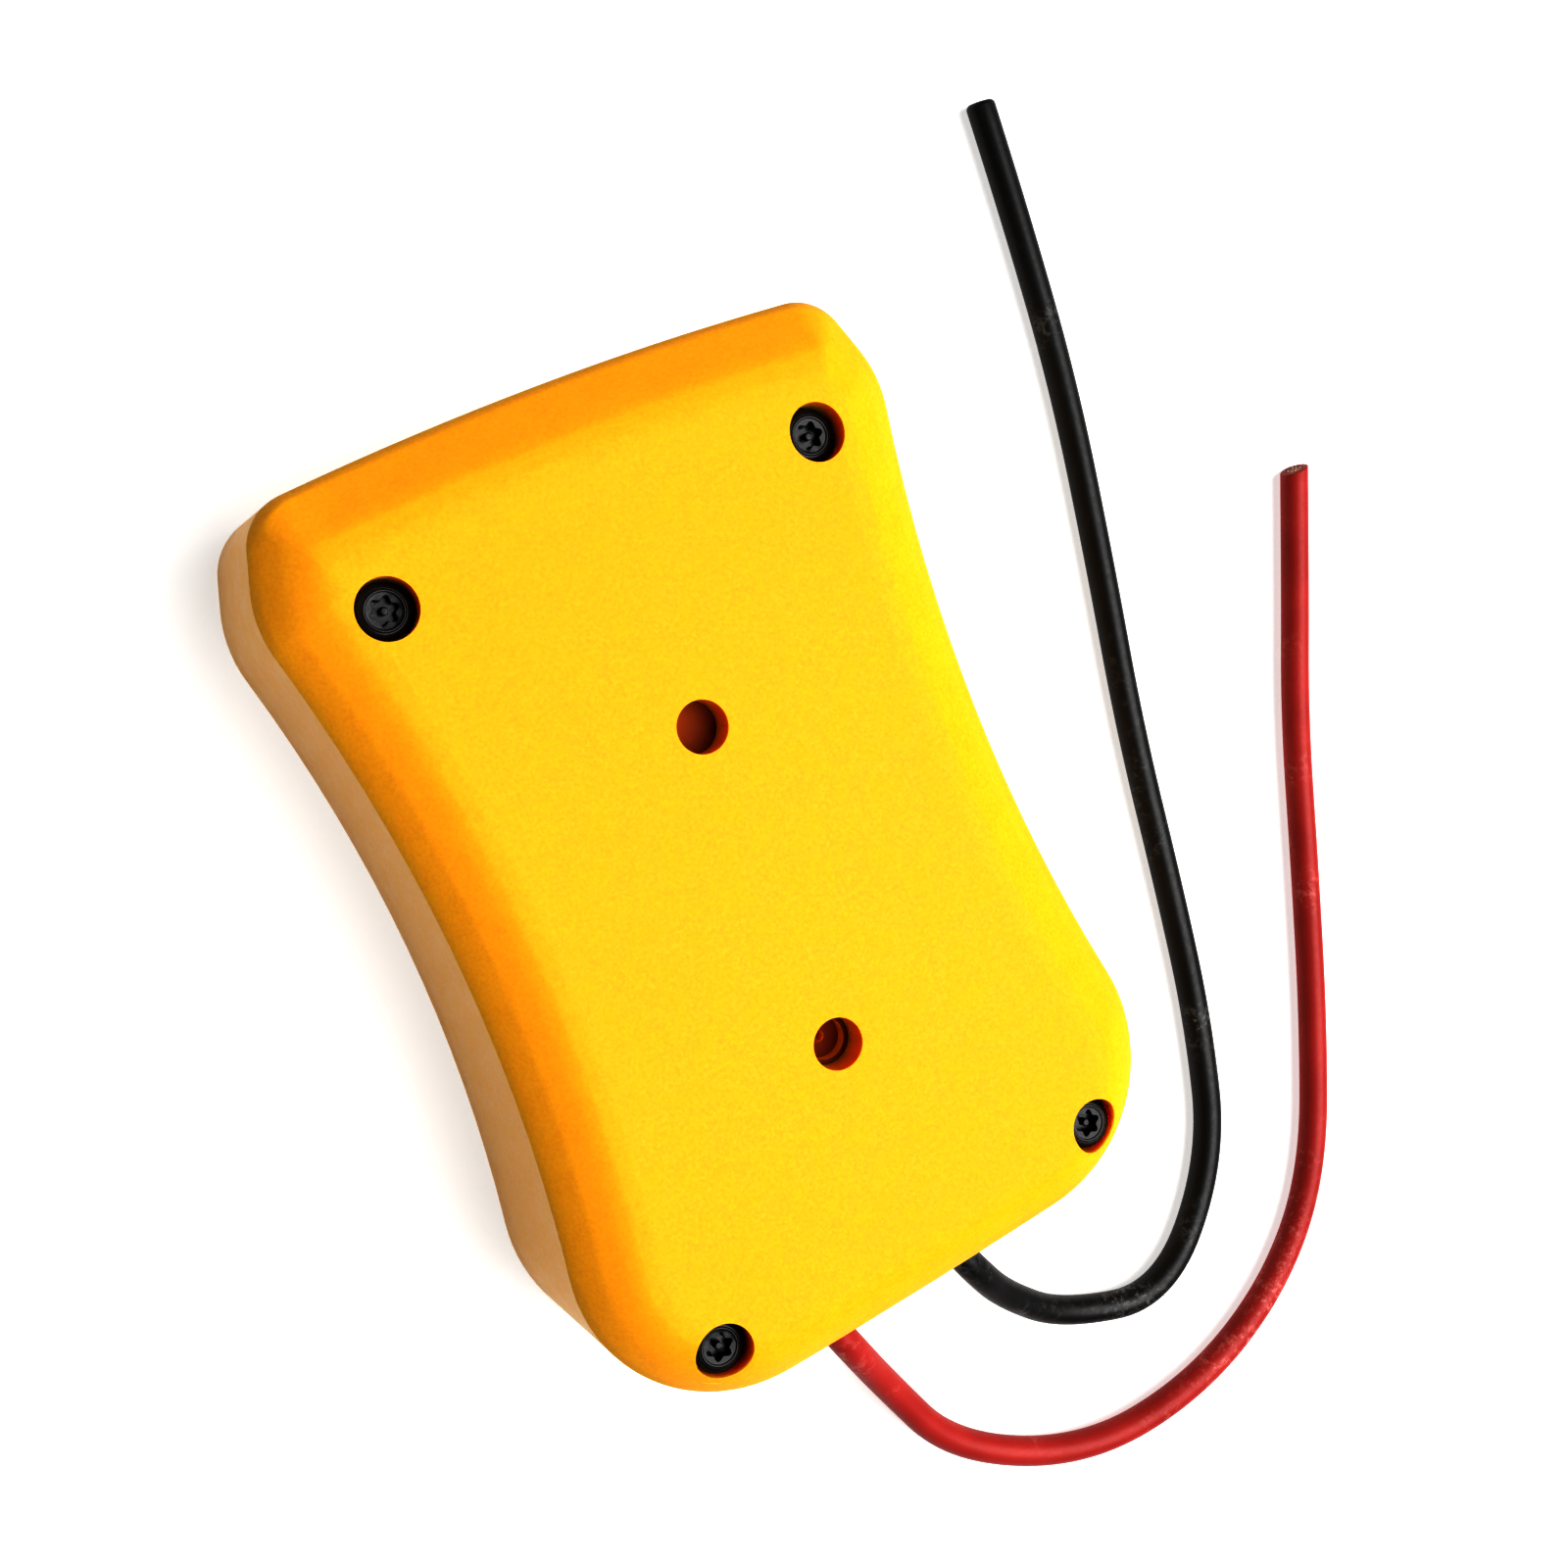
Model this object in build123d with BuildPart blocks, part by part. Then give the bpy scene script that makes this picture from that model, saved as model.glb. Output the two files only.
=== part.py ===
from build123d import *

import os
from math import cos, pi, radians, sin, tan

# Slide-on battery adapter: a waisted plastic housing in two shells, held by four screws, that a
# slide-type tool battery pushes into from the far end. A terminal block takes the battery's power,
# and a black and a red wire carry it out of the near end.
#
# X runs across the housing, Y along it with +Y towards the battery's end, and Z up from the surface
# that the housing stands on. The origin is the middle of the footprint. Sizes are in millimetres.

# ---------------------------------------------------------------- driving dimensions

height = 28.0               # footprint to mounting face
near_end = -49.4            # wire end of the seam outline, on the centreline
far_end = 50.2              # battery end of the seam outline, on the centreline
waist_half_width = 29.95
waist_y = 2.6
side_radius = 170.0         # the concave sides are arcs about a distant centre
near_radius = 880.0         # both ends bulge a little
far_radius = 353.0
flare_half_width = 33.95    # where each side turns in again towards the far end
flare_y = 39.0
flare_angle = 20.0
near_corner_radius = 16.8
far_corner_radius = 5.5
least_corner_radius = 1.0   # the far corners, where they tighten towards the mounting face
flare_corner_radius = 12.0
flare_corner_tightening = 1.5   # how fast that corner tightens as the outline shrinks
draft = 3.4                 # degrees that the base widens towards the floor

shoulder_drop = 4.45        # mounting face down to the seam
shoulder_inset = 7.2        # seam outline in to the edge of the flat mounting face
far_shoulder_inset = 9.4    # the same at the far end, which slopes more gently
shoulder_angle = radians(65)    # how far round its arc the shoulder has turned at the seam
shoulder_steps = 6

cover_rim = 3.2
cover_skin = 2.5
skirt_clearance = 0.2
skirt_thickness = 1.2
skirt_depth = 1.1
base_wall = 2.6
base_floor = 2.5

screw_x = 22.9
far_screw_y = 36.1
near_screw_y = -42.1
screw_recess_radius = 2.95
screw_head_radius = 2.75
screw_head_height = 2.0
screw_head_depth = 1.9      # mounting face to the top of a screw's head
screw_shank_radius = 1.45
screw_socket_radius = 1.2
screw_length = 8.0
screw_boss_radius = 4.2
screw_boss_end = 22.4

mount_hole_radius = 2.65
far_mount_y = 14.4
near_mount_y = -20.1
mount_hole_depth = 3.8
near_mount_depth = 5.3      # the near hole has a narrower second step
near_mount_step_radius = 2.2
near_mount_pilot_radius = 0.6
near_mount_pilot_depth = 2.0
mount_post_radius = 4.75

bay_half_width = 27.8       # above the lips that the battery's rails run on
lip_half_gap = 24.0
lip_height = 4.7
bay_height = 15.5
bay_end = -28.5
bay_end_wall = 4.0
deck_thickness = 2.5
latch_pocket = (18.0, 6.0, 1.6)
latch_pocket_y = 41.0

wire_diameter = 3.5
wire_x = 8.5
wire_height = 10.5
wire_outlet_radius = 1.95
wire_start = -49.0          # where the free wires take over from the leads inside

block_half_width = 15.0
block_bottom = 5.5
block_top = 14.5
block_ear_half_width = 21.0
block_ear_thickness = 2.7
block_front = -24.5
block_roof_front = -13.5
block_roof_thickness = 1.5
block_clearance = 0.2

blade_thickness = 0.8
blade_x = 7.0
blade_bottom = 6.6
blade_top = 12.8
blade_tip = -14.0
blade_tail = -36.2
blade_bevel = 1.2
signal_blade_x = 2.2
signal_blade_thickness = 0.6
signal_blade_bottom = 8.0
signal_blade_top = 12.0
signal_blade_tip = -17.0
signal_blade_tail = -37.0
tab_half_height = 2.0
tab_end = -39.7

strand_radius = 1.05
strip_end = -41.0           # where each lead's insulation stops
strands_end = -36.6
solder_radius = 1.7
solder_near = -40.0
solder_far = -37.0
sleeve_radius = 3.15
sleeve_thickness = 0.4
sleeve_near = -41.6
sleeve_far = -36.4
small_screw_radius = 1.25
small_screw_head_radius = 2.2
small_screw_head_height = 1.6
small_screw_socket_radius = 0.9
clamp_screw_length = 8.0
clamp_screw_hole_depth = 5.0
terminal_screw_length = 6.0
terminal_screw_hole_depth = 3.4
clamp_corner_radius = 1.2
clamp_edge_radius = 0.6
clamp_screw_x = 14.2
clamp_half_width = 17.3
clamp_y = -43.8
clamp_length = 3.8
clamp_height = 4.0
wire_groove_radius = 1.8
close_gap = 0.1             # between pieces that bolt or slide together
beyond = 120.0              # length of a cut that has to run out past the housing

# Where each free wire's middle runs, from the outlet to its cut end
floor_z = wire_diameter / 2     # lying on the surface
black_route = [
    (wire_x, wire_start, wire_height),
    (wire_x, -53.5, wire_height),
    (10.2, -58.1, 9.9),
    (13.8, -65.0, 5.6),
    (21.0, -73.5, floor_z),
    (35.0, -79.0, floor_z),
    (48.5, -66.5, floor_z),
    (53.5, -50.0, floor_z),
    (56.5, -33.0, floor_z),
    (59.5, -12.0, floor_z),
    (64.0, 9.0, floor_z),
    (68.0, 30.0, floor_z),
    (70.0, 50.0, floor_z),
    (71.0, 65.5, floor_z),
]
red_route = [
    (-wire_x, wire_start, wire_height),
    (-wire_x, -53.0, wire_height),
    (-6.9, -58.0, 9.8),
    (-4.0, -66.0, 5.2),
    (1.5, -80.5, floor_z),
    (17.0, -91.0, floor_z),
    (34.5, -92.0, floor_z),
    (50.0, -86.5, floor_z),
    (61.5, -76.0, floor_z),
    (69.5, -58.0, floor_z),
    (76.5, -39.0, floor_z),
    (83.0, -20.5, floor_z),
    (90.0, -5.0, floor_z),
    (96.5, 10.0, floor_z),
]

# ---------------------------------------------------------------- worked out from them

seam_height = height - shoulder_drop
deck_top = bay_height + deck_thickness
room_wall_y = bay_end - bay_end_wall
screw_head_top = height - screw_head_depth
screw_seat = screw_head_top - screw_head_height
screw_places = {
    "far_left": (-screw_x, far_screw_y),
    "far_right": (screw_x, far_screw_y),
    "near_left": (-screw_x, near_screw_y),
    "near_right": (screw_x, near_screw_y),
}
mount_places = [(0, far_mount_y), (0, near_mount_y)]
mount_floor = height - mount_hole_depth
ear_back = room_wall_y - block_ear_thickness
terminal_screw_x = (block_half_width + block_ear_half_width) / 2
terminal_screw_z = (block_bottom + block_top) / 2

block_height = block_top - block_bottom
blade_gap = close_gap / 2

towards_battery = (0, 1, 0)
towards_wires = (0, -1, 0)

os.makedirs("parts", exist_ok=True)


def write(part, label):
    """Label a finished piece and write it as its own node."""
    part.label = label
    export_step(part, f"parts/{label}.step")


# ---------------------------------------------------------------- the housing's outline


def outline(grow=0.0, far_grow=0.0):
    """The waisted outline at the seam, grown outwards, or inwards if grow is negative.

    far_grow moves the far end by so much more.
    """
    side_centre = waist_half_width + side_radius
    flare_x = flare_half_width + grow * cos(radians(flare_angle))
    flare_foot = flare_y + grow * sin(radians(flare_angle))
    with BuildSketch() as plan:
        with Locations((0, far_end - far_radius)):
            Circle(far_radius + grow + far_grow)
        with Locations((0, near_end + near_radius)):
            Circle(near_radius + grow, mode=Mode.INTERSECT)
        with Locations((-side_centre, waist_y), (side_centre, waist_y)):
            Circle(side_radius - grow, mode=Mode.SUBTRACT)
        with Locations(
            Location((flare_x, flare_foot), flare_angle),
            Location((-flare_x, flare_foot), 180 - flare_angle),
        ):
            Rectangle(beyond, beyond, align=(Align.MIN, Align.CENTER), mode=Mode.SUBTRACT)
        flare_radius = flare_corner_radius + flare_corner_tightening * grow
        far_corner = max(far_corner_radius + grow, least_corner_radius)
        fillet(plan.vertices().group_by(Axis.Y)[1], flare_radius)
        fillet(plan.vertices().group_by(Axis.Y)[0], near_corner_radius + grow)
        fillet(plan.vertices().group_by(Axis.Y)[-1], far_corner)
    return plan.sketch


seam_outline = outline()
floor_outline = outline(seam_height * tan(radians(draft)))
cover_inside = outline(-cover_rim)
skirt_outside = outline(-base_wall - skirt_clearance)
skirt_inside = outline(-base_wall - skirt_clearance - skirt_thickness)
base_inside = outline(-base_wall)

# ---------------------------------------------------------------- top cover

# The shoulder turns down from the mounting face and stops at the seam, short of upright
with BuildPart() as top_cover:
    for step in range(shoulder_steps + 1):
        turn = shoulder_angle * (1 - step / shoulder_steps)
        inset = 1 - sin(turn) / sin(shoulder_angle)
        drop = (1 - cos(turn)) / (1 - cos(shoulder_angle))
        far_extra = (far_shoulder_inset - shoulder_inset) * inset
        with BuildSketch(Plane.XY.offset(height - shoulder_drop * drop)):
            add(outline(-shoulder_inset * inset, -far_extra))
    loft()

    with BuildSketch(Plane.XY.offset(seam_height)):
        add(cover_inside)
    extrude(amount=height - cover_skin - seam_height, mode=Mode.SUBTRACT)

    # a skirt that drops inside the base and keeps the two shells in line
    with BuildSketch(Plane.XY.offset(seam_height - skirt_depth)):
        add(skirt_outside)
        add(skirt_inside, mode=Mode.SUBTRACT)
    extrude(amount=skirt_depth + cover_rim - cover_skin)

    with BuildSketch(Plane.XY.offset(screw_boss_end)):
        with Locations(*screw_places.values()):
            Circle(screw_boss_radius)
    extrude(amount=height - cover_skin - screw_boss_end)
    with BuildSketch(Plane.XY.offset(mount_floor + close_gap)):
        with Locations(*mount_places):
            Circle(mount_post_radius)
    extrude(amount=height - cover_skin - mount_floor - close_gap)

    with BuildSketch(Plane.XY.offset(screw_seat)):
        with Locations(*screw_places.values()):
            Circle(screw_recess_radius)
    extrude(amount=height - screw_seat, mode=Mode.SUBTRACT)
    with BuildSketch(Plane.XY.offset(screw_boss_end)):
        with Locations(*screw_places.values()):
            Circle(screw_shank_radius + close_gap)
    extrude(amount=height - screw_boss_end, mode=Mode.SUBTRACT)
    with BuildSketch(Plane.XY.offset(mount_floor)):
        with Locations(*mount_places):
            Circle(mount_hole_radius)
    extrude(amount=mount_hole_depth, mode=Mode.SUBTRACT)

write(top_cover.part, "top_cover")

# ---------------------------------------------------------------- base frame

clamp_seat_half_width = clamp_half_width + close_gap
clamp_seat_length = clamp_length + 2 * close_gap

with BuildPart() as base_frame:
    with BuildSketch():
        add(floor_outline)
    with BuildSketch(Plane.XY.offset(seam_height)):
        add(seam_outline)
    loft(ruled=True)

    # the wiring space over the battery bay, and the deeper room behind the terminal block
    with BuildSketch(Plane.XY.offset(deck_top)):
        add(base_inside)
    extrude(amount=seam_height - deck_top, mode=Mode.SUBTRACT)
    with BuildSketch(Plane.XY.offset(base_floor)):
        add(base_inside)
        with Locations((0, room_wall_y)):
            Rectangle(beyond, beyond, align=(Align.CENTER, Align.MAX), mode=Mode.INTERSECT)
    extrude(amount=deck_top - base_floor, mode=Mode.SUBTRACT)

    # the battery bay: an upside-down T that runs in from the far end
    with BuildSketch(Plane.XZ.offset(-bay_end)):
        with Locations((0, lip_height)):
            Rectangle(2 * bay_half_width, bay_height - lip_height, align=(Align.CENTER, Align.MIN))
        Rectangle(2 * lip_half_gap, lip_height, align=(Align.CENTER, Align.MIN))
    extrude(amount=beyond, dir=towards_battery, mode=Mode.SUBTRACT)
    with BuildSketch(Plane.XY.offset(bay_height)):
        with Locations((0, latch_pocket_y)):
            Rectangle(latch_pocket[0], latch_pocket[1])
    extrude(amount=latch_pocket[2], mode=Mode.SUBTRACT)

    # the window that the terminal block comes through
    with BuildSketch(Plane.XZ.offset(-bay_end)):
        with Locations((0, terminal_screw_z)):
            Rectangle(2 * block_half_width + 2 * block_clearance, block_height + 2 * block_clearance)
    extrude(amount=bay_end_wall, dir=towards_wires, mode=Mode.SUBTRACT)

    # posts under the cover's screws: short on the deck, full height in the wiring room
    with BuildSketch(Plane.XY.offset(deck_top)):
        with Locations(screw_places["far_left"], screw_places["far_right"]):
            Circle(screw_boss_radius)
    extrude(amount=screw_boss_end - close_gap - deck_top)
    with BuildSketch(Plane.XY.offset(base_floor)):
        with Locations(screw_places["near_left"], screw_places["near_right"]):
            Circle(screw_boss_radius)
    extrude(amount=screw_boss_end - close_gap - base_floor)
    with BuildSketch(Plane.XY.offset(screw_boss_end - close_gap)):
        with Locations(*screw_places.values()):
            Circle(screw_boss_radius + block_clearance)
    extrude(amount=height - screw_boss_end, mode=Mode.SUBTRACT)
    with Locations(*[(x, y, screw_boss_end) for x, y in screw_places.values()]):
        Hole(screw_shank_radius + close_gap / 2, depth=screw_boss_end - screw_seat + screw_length)

    # posts that close the bottoms of the two mounting holes
    with BuildSketch(Plane.XY.offset(deck_top)):
        with Locations(*mount_places):
            Circle(mount_post_radius)
    extrude(amount=mount_floor - deck_top)
    with Locations((0, near_mount_y, mount_floor)):
        Hole(near_mount_step_radius, depth=near_mount_depth - mount_hole_depth)
    with Locations((0, near_mount_y, height - near_mount_depth)):
        Hole(near_mount_pilot_radius, depth=near_mount_pilot_depth)

    # the seat under the wire clamp, with its grooves, and the wires' way out
    with BuildSketch(Plane.XY.offset(base_floor)):
        with Locations((0, clamp_y)):
            Rectangle(2 * clamp_seat_half_width, clamp_seat_length)
    extrude(amount=wire_height - base_floor)
    with BuildSketch(Plane.XZ.offset(-clamp_y + clamp_seat_length)):
        with Locations((-wire_x, wire_height), (wire_x, wire_height)):
            Circle(wire_groove_radius)
    extrude(amount=2 * clamp_seat_length, dir=towards_battery, mode=Mode.SUBTRACT)
    with BuildSketch(Plane.XZ.offset(-near_end + 2 * base_wall)):
        with Locations((-wire_x, wire_height), (wire_x, wire_height)):
            Circle(wire_outlet_radius)
    extrude(amount=4 * base_wall, dir=towards_battery, mode=Mode.SUBTRACT)
    with Locations((-clamp_screw_x, clamp_y, wire_height), (clamp_screw_x, clamp_y, wire_height)):
        Hole(small_screw_radius + close_gap / 2, depth=clamp_screw_hole_depth)

    # holes for the screws that hold the terminal block against the bay's end wall
    with BuildSketch(Plane.XZ.offset(-room_wall_y)):
        with Locations((-terminal_screw_x, terminal_screw_z), (terminal_screw_x, terminal_screw_z)):
            Circle(small_screw_radius + close_gap / 2)
    extrude(amount=terminal_screw_hole_depth, dir=towards_battery, mode=Mode.SUBTRACT)

write(base_frame.part, "base_frame")

# ---------------------------------------------------------------- screws


def make_screw(head_radius, head_height, shank_radius, length, socket_radius):
    """A pan-head screw standing point down, its head's underside at the origin."""
    socket_depth = head_height * 0.6
    crown_radius = head_height * 0.4
    point_chamfer = shank_radius * 0.5
    lobe_radius = socket_radius * 0.3
    with BuildPart() as screw:
        Cylinder(head_radius, head_height, align=(Align.CENTER, Align.CENTER, Align.MIN))
        crown = screw.edges().filter_by(GeomType.CIRCLE).sort_by(Axis.Z)[-1]
        fillet(crown, crown_radius)
        Cylinder(shank_radius, length, align=(Align.CENTER, Align.CENTER, Align.MAX))
        point = screw.edges().filter_by(GeomType.CIRCLE).sort_by(Axis.Z)[0]
        chamfer(point, point_chamfer)
        # six-lobed socket with a pin left standing in its middle
        with BuildSketch(Plane.XY.offset(head_height - socket_depth)):
            Circle(socket_radius)
            with PolarLocations(socket_radius, 6):
                Circle(lobe_radius)
            Circle(lobe_radius, mode=Mode.SUBTRACT)
        extrude(amount=socket_depth, mode=Mode.SUBTRACT)
    return screw.part


case_screw = make_screw(
    screw_head_radius,
    screw_head_height,
    screw_shank_radius,
    screw_length,
    screw_socket_radius,
)
for place, (x, y) in screw_places.items():
    write(case_screw.moved(Location((x, y, screw_seat))), f"case_screw_{place}")

# ---------------------------------------------------------------- terminal block and its blades

with BuildPart() as terminal_block:
    # ears that bear on the end wall from behind, then the body that stands in the bay
    with BuildSketch(Plane.XZ.offset(-room_wall_y)):
        with Locations((0, terminal_screw_z)):
            RectangleRounded(2 * block_ear_half_width, block_height, 1.5)
    extrude(amount=-block_ear_thickness, dir=towards_battery)
    with BuildSketch(Plane.XZ.offset(-room_wall_y)):
        with Locations((0, terminal_screw_z)):
            Rectangle(2 * block_half_width, block_height)
    extrude(amount=block_front - room_wall_y, dir=towards_battery)
    with BuildSketch(Plane.XZ.offset(-block_front)):
        with Locations((0, block_top)):
            Rectangle(
                2 * block_half_width, block_roof_thickness, align=(Align.CENTER, Align.MAX)
            )
    extrude(amount=block_roof_front - block_front, dir=towards_battery)
    chamfer(terminal_block.faces().sort_by(Axis.Y)[-1].edges().filter_by(Axis.Z), 1.2)

    # slots for the blades, and holes for the two screws
    with BuildSketch(Plane.XZ.offset(-ear_back)):
        with Locations((-blade_x, 0), (blade_x, 0)):
            with Locations((0, blade_bottom - blade_gap)):
                Rectangle(
                    blade_thickness + 2 * blade_gap,
                    blade_top - blade_bottom + 2 * blade_gap,
                    align=(Align.CENTER, Align.MIN),
                )
        with Locations((-signal_blade_x, 0), (signal_blade_x, 0)):
            with Locations((0, signal_blade_bottom - blade_gap)):
                Rectangle(
                    signal_blade_thickness + 2 * blade_gap,
                    signal_blade_top - signal_blade_bottom + 2 * blade_gap,
                    align=(Align.CENTER, Align.MIN),
                )
    extrude(amount=block_front - ear_back, dir=towards_battery, mode=Mode.SUBTRACT)
    with BuildSketch(Plane.XZ.offset(-ear_back)):
        with Locations((-terminal_screw_x, terminal_screw_z), (terminal_screw_x, terminal_screw_z)):
            Circle(small_screw_radius + close_gap)
    extrude(amount=block_ear_thickness, dir=towards_battery, mode=Mode.SUBTRACT)

write(terminal_block.part, "terminal_block")


def make_blade(x, thickness, bottom, top, tip, tail):
    """A flat contact blade standing on edge at x, its tip bevelled."""
    with BuildPart() as blade:
        with BuildSketch(Plane.YZ.offset(x - thickness / 2)) as side:
            with Locations(((tail + tip) / 2, (bottom + top) / 2)):
                Rectangle(tip - tail, top - bottom)
            chamfer(side.vertices().group_by(Axis.X)[-1], blade_bevel)
        extrude(amount=thickness)
    return blade.part


def make_power_blade(x):
    """A blade with a narrower solder tab standing out behind the block."""
    plate = make_blade(x, blade_thickness, blade_bottom, blade_top, blade_tip, blade_tail)
    with BuildPart() as power_blade:
        add(plate)
        with BuildSketch(Plane.YZ.offset(x - blade_thickness / 2)):
            with Locations((tab_end, wire_height)):
                Rectangle(
                    blade_tail - tab_end, 2 * tab_half_height, align=(Align.MIN, Align.CENTER)
                )
        extrude(amount=blade_thickness)
    return power_blade.part


def make_signal_blade(x):
    """A short thin blade that only reads the battery's signal contact."""
    return make_blade(
        x,
        signal_blade_thickness,
        signal_blade_bottom,
        signal_blade_top,
        signal_blade_tip,
        signal_blade_tail,
    )


power_blades = {side: make_power_blade(side * blade_x) for side in (-1, 1)}
write(power_blades[-1], "blade_positive")
write(power_blades[1], "blade_negative")
write(make_signal_blade(-signal_blade_x), "blade_thermistor")
write(make_signal_blade(signal_blade_x), "blade_identity")

# ---------------------------------------------------------------- leads inside the housing


def make_rod(x, radius, near, far):
    """A round bar along Y at the wires' height."""
    with BuildPart() as rod:
        with BuildSketch(Plane.XZ.offset(-near)):
            with Locations((x, wire_height)):
                Circle(radius)
        extrude(amount=far - near, dir=towards_battery)
    return rod.part


for side, colour in ((-1, "red"), (1, "black")):
    lead_x = side * wire_x
    joint_x = side * (blade_x + wire_x) / 2
    strands = make_rod(lead_x, strand_radius, strip_end, strands_end)
    with BuildPart() as solder:
        add(make_rod(joint_x, solder_radius, solder_near, solder_far))
        add(strands, mode=Mode.SUBTRACT)
        add(power_blades[side], mode=Mode.SUBTRACT)
    with BuildPart() as sleeve:
        add(make_rod(joint_x, sleeve_radius, sleeve_near, sleeve_far))
        add(
            make_rod(joint_x, sleeve_radius - sleeve_thickness, sleeve_near, sleeve_far),
            mode=Mode.SUBTRACT,
        )
    write(make_rod(lead_x, wire_diameter / 2, wire_start, strip_end), f"{colour}_lead")
    write(strands, f"{colour}_strands")
    write(solder.part, f"{colour}_solder")
    write(sleeve.part, f"{colour}_sleeve")

# ---------------------------------------------------------------- wire clamp and small screws

with BuildPart() as wire_clamp:
    with BuildSketch(Plane.XY.offset(wire_height + close_gap)):
        with Locations((0, clamp_y)):
            RectangleRounded(2 * clamp_half_width, clamp_length, clamp_corner_radius)
    extrude(amount=clamp_height)
    fillet(wire_clamp.faces().sort_by(Axis.Z)[-1].edges(), clamp_edge_radius)
    with BuildSketch(Plane.XZ.offset(-clamp_y + clamp_length)):
        with Locations((-wire_x, wire_height), (wire_x, wire_height)):
            Circle(wire_groove_radius)
    extrude(amount=2 * clamp_length, dir=towards_battery, mode=Mode.SUBTRACT)
    with BuildSketch(Plane.XY.offset(wire_height)):
        with Locations((-clamp_screw_x, clamp_y), (clamp_screw_x, clamp_y)):
            Circle(small_screw_radius + close_gap)
    extrude(amount=2 * clamp_height, mode=Mode.SUBTRACT)

write(wire_clamp.part, "wire_clamp")


def make_small_screw(length):
    """The smaller screw that holds the wire clamp and the terminal block."""
    return make_screw(
        small_screw_head_radius,
        small_screw_head_height,
        small_screw_radius,
        length,
        small_screw_socket_radius,
    )


clamp_screw = make_small_screw(clamp_screw_length)
terminal_screw = make_small_screw(terminal_screw_length)
clamp_top = wire_height + close_gap + clamp_height
for side, hand in ((-1, "left"), (1, "right")):
    clamp_place = Location((side * clamp_screw_x, clamp_y, clamp_top))
    write(clamp_screw.moved(clamp_place), f"clamp_screw_{hand}")
    block_place = Location((side * terminal_screw_x, ear_back, terminal_screw_z), (90, 0, 0))
    write(terminal_screw.moved(block_place), f"terminal_screw_{hand}")

# ---------------------------------------------------------------- free wires


def corner_radii(route):
    """An arc for each corner as large as its two runs allow."""
    radii = []
    for before, corner, after in zip(route, route[1:], route[2:]):
        run_in = Vector(corner) - Vector(before)
        run_out = Vector(after) - Vector(corner)
        half_turn = radians(run_in.get_angle(run_out) / 2)
        radii.append(0.45 * min(run_in.length, run_out.length) / tan(half_turn))
    return radii


def make_wire(route, label):
    """A round wire along straight runs joined by tangent arcs."""
    radii = corner_radii(route)
    with BuildPart() as wire:
        with BuildLine() as path:
            FilletPolyline(*route, radius=radii)
        with BuildSketch(Plane(path.line @ 0, z_dir=path.line % 0)):
            Circle(wire_diameter / 2)
        sweep()
    length = sum(edge.length for edge in path.edges())
    full_volume = length * pi * (wire_diameter / 2) ** 2
    print(label, "length", round(length, 1), "smallest radius", round(min(radii), 1))
    print(label, "corner radii", [round(radius, 1) for radius in radii])
    print(label, "volume over section times length", round(wire.part.volume / full_volume, 4))
    write(wire.part, label)


make_wire(black_route, "black_wire")
make_wire(red_route, "red_wire")
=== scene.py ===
import math

import bmesh
import bpy
from mathutils import Matrix, Vector


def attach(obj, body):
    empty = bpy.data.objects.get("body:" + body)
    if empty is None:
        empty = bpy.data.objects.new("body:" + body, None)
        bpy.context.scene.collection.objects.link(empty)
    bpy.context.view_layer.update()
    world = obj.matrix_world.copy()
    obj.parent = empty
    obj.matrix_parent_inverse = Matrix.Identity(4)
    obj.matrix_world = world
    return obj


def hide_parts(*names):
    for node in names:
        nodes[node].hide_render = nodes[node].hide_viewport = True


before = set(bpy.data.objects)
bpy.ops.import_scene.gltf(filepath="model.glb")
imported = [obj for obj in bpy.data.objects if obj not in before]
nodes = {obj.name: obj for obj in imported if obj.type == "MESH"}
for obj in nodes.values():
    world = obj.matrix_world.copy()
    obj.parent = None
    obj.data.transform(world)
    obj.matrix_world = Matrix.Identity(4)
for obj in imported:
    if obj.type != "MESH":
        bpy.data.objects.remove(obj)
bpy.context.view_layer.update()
scene = bpy.context.scene
MM = 0.001

# ---------------------------------------------------------------- camera

# The lens, place and turn that the photograph's outline, screws and holes agree on.
camera_data = bpy.data.cameras.new("camera")
camera_data.sensor_width = 36.0
camera_data.lens = 38.51
camera_data.clip_start = 0.01
camera = bpy.data.objects.new("camera", camera_data)
scene.collection.objects.link(camera)
camera_right = Vector((0.84934, -0.38357, 0.36262))
camera_up = Vector((0.41540, 0.90958, -0.01083))
camera_back = camera_right.cross(camera_up)
camera.matrix_world = Matrix.Translation((-0.04823, 0.03222, 0.18138)) @ Matrix(
    (camera_right, camera_up, camera_back)
).transposed().to_4x4()
scene.camera = camera

# ---------------------------------------------------------------- materials


def new_material(name):
    """A material with its nodes, its principled shader and its output."""
    material = bpy.data.materials.new(name)
    material.use_nodes = True
    return material, material.node_tree, material.node_tree.nodes["Principled BSDF"]


def add_node(tree, kind, **settings):
    """A shader node; settings whose names are sockets set the sockets, the rest set properties."""
    node = tree.nodes.new(kind)
    for name, value in settings.items():
        socket = name.replace("_", " ").title()
        if socket in node.inputs:
            node.inputs[socket].default_value = value
        else:
            setattr(node, name, value)
    return node


def noise(tree, scale, detail=2.0, roughness=0.5):
    """Noise over the object's own coordinates, in features per metre."""
    place = tree.nodes.get("place") or tree.nodes.new("ShaderNodeTexCoord")
    place.name = "place"
    texture = add_node(tree, "ShaderNodeTexNoise", scale=scale, detail=detail, roughness=roughness)
    tree.links.new(place.outputs["Object"], texture.inputs["Vector"])
    return texture.outputs["Fac"]


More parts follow.
